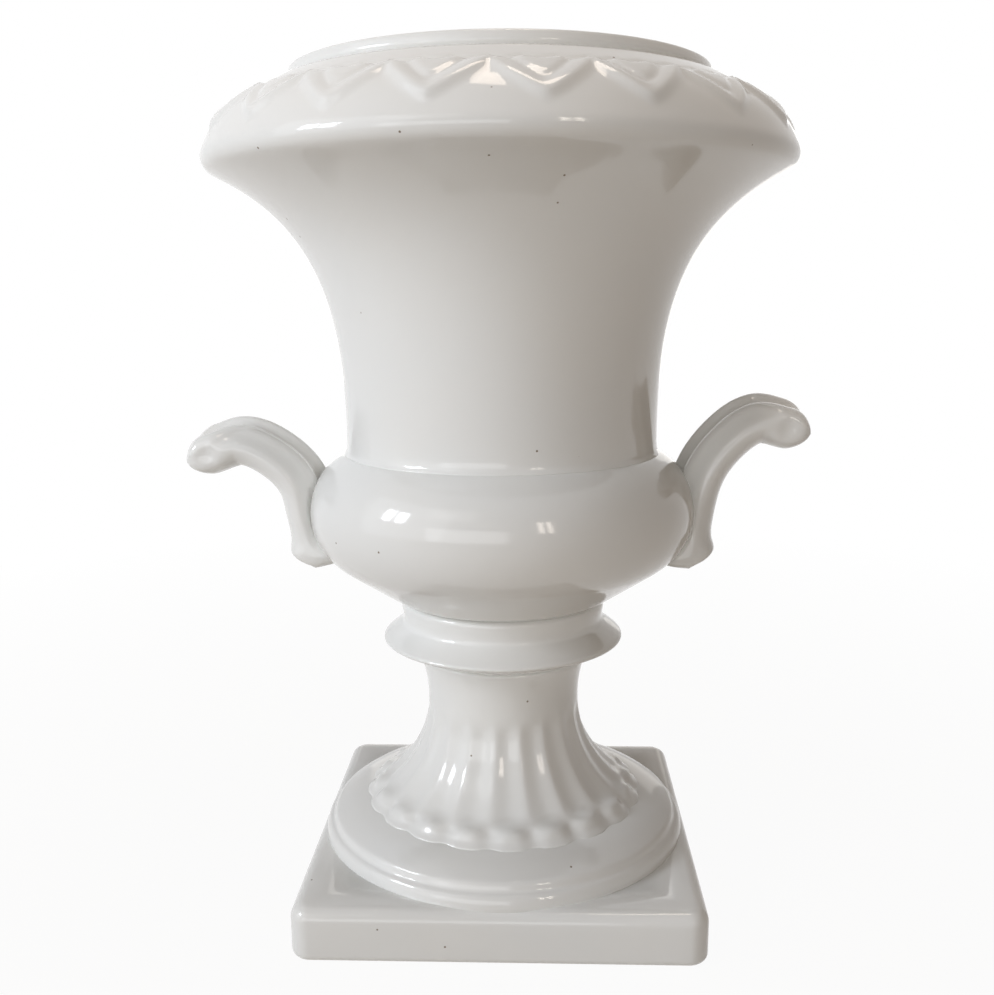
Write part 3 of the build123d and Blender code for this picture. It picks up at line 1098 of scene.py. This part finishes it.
@dataclass
class ScrollHandle(Casting):
    """Open scroll strap, luted to the bowl's flank and rolled over at its free end.

    Its section has two crests with a channel between them on the upper side, and narrows towards the
    crests and towards its back. Lengths along the strap start at its sole on the bowl.
    """

    side: Side
    crown: float
    bowl_radius: float = 91.0
    equator: float = 184.0
    # The middle line, out from the bowl's flank and up or down from its equator or the crown.
    foot_out: float = -3.5
    foot_drop: float = 26.0
    leg_out: float = 1.0
    leg_drop: float = 4.0
    neck_out: float = 5.5
    neck_share: float = 0.42
    bend_out: float = 16.5
    bend_share: float = 0.79
    crown_out: float = 32.0
    curl_out: float = 46.4
    curl_fall: float = 3.6
    tip_out: float = 56.6
    tip_fall: float = 8.0
    # How far this handle's scroll reaches and falls, as shares of the pattern above.
    reach: float = 0.985
    fall: float = 1.0
    # The section, and how it narrows at the sole and towards the rolled tip.
    half_width: float = 20.5
    half_thickness: float = 10.8
    roundness: float = 0.62
    sole_length: float = 5.0
    sole_width: float = 0.88
    sole_back: float = 0.72
    nose_width: float = 0.72
    nose_least: float = 0.004
    # The foot swells towards the bowl, and its heel spreads and lifts on the outer side.
    foot_swell: float = 4.0
    swell_length: float = 26.0
    heel: float = 2.0
    heel_run: tuple[float, float] = (2.0, 18.0)
    heel_width: float = 0.4
    heel_lift: float = 6.0
    heel_lift_length: float = 16.0
    # The channel, which starts flat at the foot and fills up again over the tip.
    channel: float = 4.6
    channel_share: float = 0.66
    channel_floor: float = 0.9
    channel_start: float = 30.0
    tip_fill: float = 0.7
    tip_fill_end: float = 0.7
    # The moulded stretch between foot and eye, set back at the crests, tucked in at the back and coved
    # between. Its end is given in millimetres before the eye.
    moulded_start: tuple[float, float] = (4.0, 22.0)
    moulded_end: tuple[float, float] = (16.0, 3.0)
    set_back: float = 0.44
    tuck: float = 0.34
    cove_depth: float = 1.4
    cove_place: float = 0.5
    cove_width: float = 0.24
    cove_flank: tuple[float, float] = (0.1, 0.4)
    # The crest behind lies higher than the one in front, apart from a middle strip of this share.
    roll_lift: float = 1.3
    middle_strip: float = 0.3
    # The roll of the free end and the eye pressed into its flanks.
    roll: float = 11.0
    eye_depth: float = 1.8
    eye_radius: float = 5.0
    eye_flank: tuple[float, float] = (0.55, 0.95)
    rings: int = 110
    ring_points: int = 72

    def __post_init__(self) -> None:
        """Lay out the strap's middle line."""
        out, up = self.bowl_radius, self.equator
        top = up + self.crown
        self.spine = Spine(
            [
                Vector((out + self.foot_out, up - self.foot_drop)),
                Vector((out + self.leg_out, up - self.leg_drop)),
                Vector((out + self.neck_out, up + self.neck_share * self.crown)),
                Vector((out + self.bend_out, up + self.bend_share * self.crown)),
                Vector((out + self.crown_out * self.reach, top)),
                Vector((out + self.curl_out * self.reach, top - self.curl_fall * self.fall)),
                Vector((out + self.tip_out * self.reach, top - self.tip_fall * self.fall)),
            ]
        )
        self.eye = self.spine.length - self.roll

    def _section(self, mile: float) -> tuple[float, float, float, float]:
        """Return the section's sizes at a place.

        Args:
            mile: length along the middle line.

        Returns:
            Half the width, the thickness to the crests and to the back, and the channel's depth.
        """
        nose = max(0.0, (mile - self.eye) / self.roll)
        blunt = math.sqrt(max(self.nose_least, 1 - nose * nose))
        sole = math.sqrt(max(0.0, 1 - (1 - min(1.0, mile / self.sole_length)) ** 2))
        swell = self.foot_swell * (1 - smooth_step(0.0, self.swell_length, mile))
        heel = self.heel * (1 - smooth_step(*self.heel_run, mile))
        width = self.half_width + self.heel_width * heel
        width *= self.nose_width + (1 - self.nose_width) * blunt
        width *= self.sole_width + (1 - self.sole_width) * sole
        crest = (self.half_thickness + swell) * blunt
        back = (self.half_thickness + heel) * blunt * (self.sole_back + (1 - self.sole_back) * sole)
        depth = self.channel * blunt * smooth_step(0.0, self.channel_start, mile)
        depth *= 1 - self.tip_fill * smooth_step(0.0, self.tip_fill_end, nose)
        return width, crest, back, depth

    def _moulded(self, mile: float) -> float:
        """Return 1 on the moulded stretch, fading to 0 at the foot and at the eye."""
        ended = smooth_step(self.eye - self.moulded_end[0], self.eye - self.moulded_end[1], mile)
        return smooth_step(*self.moulded_start, mile) * (1 - ended)

    def _ring(self, mile: float) -> list[Vector]:
        """Return one section of the strap.

        Args:
            mile: length along the middle line.

        Returns:
            Points round the section, in metres.
        """
        point, way = self.spine.at(mile)
        eye = self.spine.at(self.eye)[0]
        inner = Vector((-way.y, way.x))
        width, crest, back, channel = self._section(mile)
        moulded = self._moulded(mile)
        heel_lift = self.heel_lift * (1 - smooth_step(0.0, self.heel_lift_length, mile))
        ring = []
        for i in range(self.ring_points):
            angle = 2 * math.pi * i / self.ring_points
            cos, sin = math.cos(angle), math.sin(angle)
            across = width * math.copysign(abs(cos) ** self.roundness, cos)
            rise = (crest if sin > 0 else back) * math.copysign(abs(sin) ** self.roundness, sin)
            share = min(1.0, abs(across) / (self.channel_share * width))
            if sin > 0:
                rise -= channel * min(self.channel_floor, 0.5 + 0.5 * math.cos(math.pi * share))
            high = max(0.0, rise / crest)
            low = max(0.0, -rise / back)
            across *= 1 - (self.set_back * high + self.tuck * low * low) * moulded
            cove = self.cove_depth * moulded * hump(high, self.cove_place, self.cove_width)
            cove *= smooth_step(*self.cove_flank, abs(cos))
            across -= math.copysign(min(abs(across), cove), across)
            lean = math.copysign(smooth_step(0.0, self.middle_strip, abs(across) / width), across)
            rise += self.roll_lift * high * lean
            flat = point + inner * rise
            flat.y += heel_lift * max(0.0, -rise / back)
            dish = self.eye_depth * hump((flat - eye).length, 0.0, self.eye_radius)
            across -= math.copysign(smooth_step(*self.eye_flank, abs(cos)) * dish, across)
            ring.append(Vector((self.side.value * flat.x, across, flat.y)) * MM)
        return ring

    def shape(self, bm: bmesh.types.BMesh) -> None:
        """Draw the strap out of one section, ring after ring.

        Args:
            bm: an empty bmesh.
        """
        miles = [self.spine.length * step / self.rings for step in range(self.rings + 1)]
        draw_out(bm, [self._ring(mile) for mile in miles], closed=False)


@dataclass(frozen=True)
class Lamp:
    """Soft rectangular lamp that faces the vase's middle.

    turn is in degrees round from the camera's side, positive to the right, and rise in degrees above
    the vase's middle. far, wide, tall and middle are in metres.
    """

    name: str
    turn: float
    rise: float
    far: float
    wide: float
    tall: float
    watts: float
    tint: str
    middle: float = 0.2

    def hang(self) -> None:
        """Add the lamp to the scene."""
        data = bpy.data.lights.new(self.name, "AREA")
        data.shape = "RECTANGLE"
        data.size = self.wide
        data.size_y = self.tall
        data.energy = self.watts
        data.color = linear(self.tint)[:3]
        lamp = bpy.data.objects.new(self.name, data)
        bpy.context.scene.collection.objects.link(lamp)
        turn = math.radians(self.turn)
        rise = math.radians(self.rise)
        way = Vector((math.sin(turn) * math.cos(rise), -math.cos(turn) * math.cos(rise), math.sin(rise)))
        lamp.location = Vector((0, 0, self.middle)) + self.far * way
        lamp.rotation_euler = way.to_track_quat("Z", "Y").to_euler()


# The room that lights the vase: a two-pane window and a pale wall at the left, softer light from the
# front, above and behind, and a narrow far window at the right.
LAMPS = (
    Lamp("window_pane_outer", turn=-68, rise=22, far=1.5, wide=0.15, tall=0.36, watts=3.4, tint="f0f6ff"),
    Lamp("window_pane_inner", turn=-59, rise=22, far=1.5, wide=0.15, tall=0.36, watts=3.4, tint="f0f6ff"),
    Lamp("pale_wall", turn=-58, rise=18, far=2.2, wide=2.2, tall=2.0, watts=14.0, tint="eff5fc"),
    Lamp("upper_window", turn=-30, rise=36, far=2.0, wide=0.9, tall=0.6, watts=1.2, tint="f6f4f2"),
    Lamp("front_room", turn=-18, rise=4, far=2.6, wide=2.2, tall=1.0, watts=13.5, tint="f4f7fa"),
    Lamp("ceiling", turn=60, rise=87, far=2.0, wide=0.7, tall=0.7, watts=8.0, tint="ffeedd"),
    Lamp("back_room", turn=178, rise=6, far=2.6, wide=2.0, tall=1.0, watts=4.5, tint="f8f4ee"),
    Lamp("far_window_left", turn=24, rise=18, far=2.4, wide=0.12, tall=0.7, watts=2.0, tint="fff4e8"),
    Lamp("far_window_right", turn=29, rise=18, far=2.4, wide=0.12, tall=0.7, watts=2.0, tint="fff4e8"),
)


@dataclass
class Studio:
    """Pale floor, soft window light and the camera of the photograph."""

    # The camera: its focal length in the photograph's pixels, and where it stands and looks.
    image_height_px: float = 995.0
    focal_px: float = 1100.9
    distance: float = 519.1
    height: float = 286.7
    pitch: float = math.radians(10.75)
    roll: float = math.radians(-0.39)
    orbit: float = math.radians(1.84)
    aim: float = math.radians(0.27)
    sensor: float = 36.0
    clip_start_m: float = 0.01
    # The floor, and how much of its paper shows through the white near the vase.
    floor_half_m: float = 30.0
    paper: str = "c9c2b8"
    white: str = "ffffff"
    shade_share: float = 0.05
    shade_reach_m: tuple[float, float] = (0.2, 0.8)
    # The room's own light.
    room_light: str = "c9ae92"
    room_strength: float = 0.155

    def build(self) -> None:
        """Set the camera, the floor, the lamps and the world."""
        bpy.context.scene.view_settings.view_transform = "Standard"
        self._camera()
        self._floor()
        for lamp in LAMPS:
            lamp.hang()
        self._world()

    def _camera(self) -> None:
        """Stand the camera where the photograph was taken from."""
        data = bpy.data.cameras.new("photo_camera")
        data.sensor_fit = "VERTICAL"
        data.sensor_height = self.sensor
        data.lens = self.focal_px / self.image_height_px * self.sensor
        data.clip_start = self.clip_start_m
        camera = bpy.data.objects.new("photo_camera", data)
        camera.matrix_world = (
            Matrix.Rotation(self.orbit, 4, "Z")
            @ Matrix.Translation(Vector((0, -self.distance, self.height)) * MM)
            @ Matrix.Rotation(self.aim, 4, "Z")
            @ Matrix.Rotation(math.pi / 2 - self.pitch, 4, "X")
            @ Matrix.Rotation(self.roll, 4, "Z")
        )
        bpy.context.scene.collection.objects.link(camera)
        bpy.context.scene.camera = camera

    def _paper(self) -> bpy.types.Material:
        """Return matt paper, which gives the eye a plain white ground with a faint shadow of the vase."""
        material = bpy.data.materials.new("matt white paper")
        tree = empty_tree(material)
        paper = add_node(tree, "ShaderNodeBsdfDiffuse", {"Color": linear(self.paper)})
        glow = add_node(tree, "ShaderNodeEmission", {"Color": linear(self.white), "Strength": 1.0})
        place = add_node(tree, "ShaderNodeTexCoord").outputs["Object"]
        far = add_node(tree, "ShaderNodeVectorMath", {0: place}, operation="LENGTH").outputs["Value"]
        near, end = self.shade_reach_m
        whiteness = add_node(
            tree,
            "ShaderNodeMapRange",
            {"Value": far, "From Min": near, "From Max": end, "To Min": 1 - self.shade_share},
        ).outputs["Result"]
        share = add_node(tree, "ShaderNodeMath", {0: seen_rays(tree), 1: whiteness}, operation="MULTIPLY")
        both = add_node(
            tree, "ShaderNodeMixShader", {0: share.outputs[0], 1: paper.outputs[0], 2: glow.outputs[0]}
        )
        add_node(tree, "ShaderNodeOutputMaterial", {"Surface": both.outputs[0]})
        return material

    def _floor(self) -> None:
        """Lay a wide floor of paper under the vase."""
        bm = bmesh.new()
        bmesh.ops.create_grid(bm, x_segments=1, y_segments=1, size=self.floor_half_m)
        mesh = bpy.data.meshes.new("pale_floor")
        bm.to_mesh(mesh)
        bm.free()
        mesh.materials.append(self._paper())
        floor = bpy.data.objects.new("pale_floor", mesh)
        bpy.context.scene.collection.objects.link(floor)

    def _world(self) -> None:
        """Surround the vase with a room: white to the eye, dimmer and warmer as light."""
        world = bpy.data.worlds.new("pale_room")
        tree = empty_tree(world)
        seen = add_node(tree, "ShaderNodeBackground", {"Color": linear(self.white), "Strength": 1.0})
        light = add_node(
            tree,
            "ShaderNodeBackground",
            {"Color": linear(self.room_light), "Strength": self.room_strength},
        )
        both = add_node(
            tree, "ShaderNodeMixShader", {0: seen_rays(tree), 1: light.outputs[0], 2: seen.outputs[0]}
        )
        add_node(tree, "ShaderNodeOutputWorld", {"Surface": both.outputs[0]})
        bpy.context.scene.world = world


def main() -> None:
    """Build the castings in order, report each, and set the studio around them."""
    logging.basicConfig(level=logging.INFO, format="%(name)s: %(message)s")
    finishes = {ware: GlazeFinish(ware).build() for ware in Ware}
    handle_left = ScrollHandle("handle_left", side=Side.LEFT, crown=31.5)
    handle_right = ScrollHandle(
        "handle_right",
        side=Side.RIGHT,
        crown=41.5,
        bowl_radius=89.0,
        foot_out=-1.6,
        leg_out=0.2,
        reach=0.93,
        fall=0.6,
    )
    turned = [MouthCollar(), Bell(), Bowl(), Knop(), FlutedStem(), RoundBase()]
    for casting in turned + [handle_left, handle_right, Plinth()]:
        piece = casting.build(finishes[casting.ware])
        LOG.info("%s: %d faces", piece.name, len(piece.data.polygons))
    Studio().build()


if __name__ == "__main__":
    main()
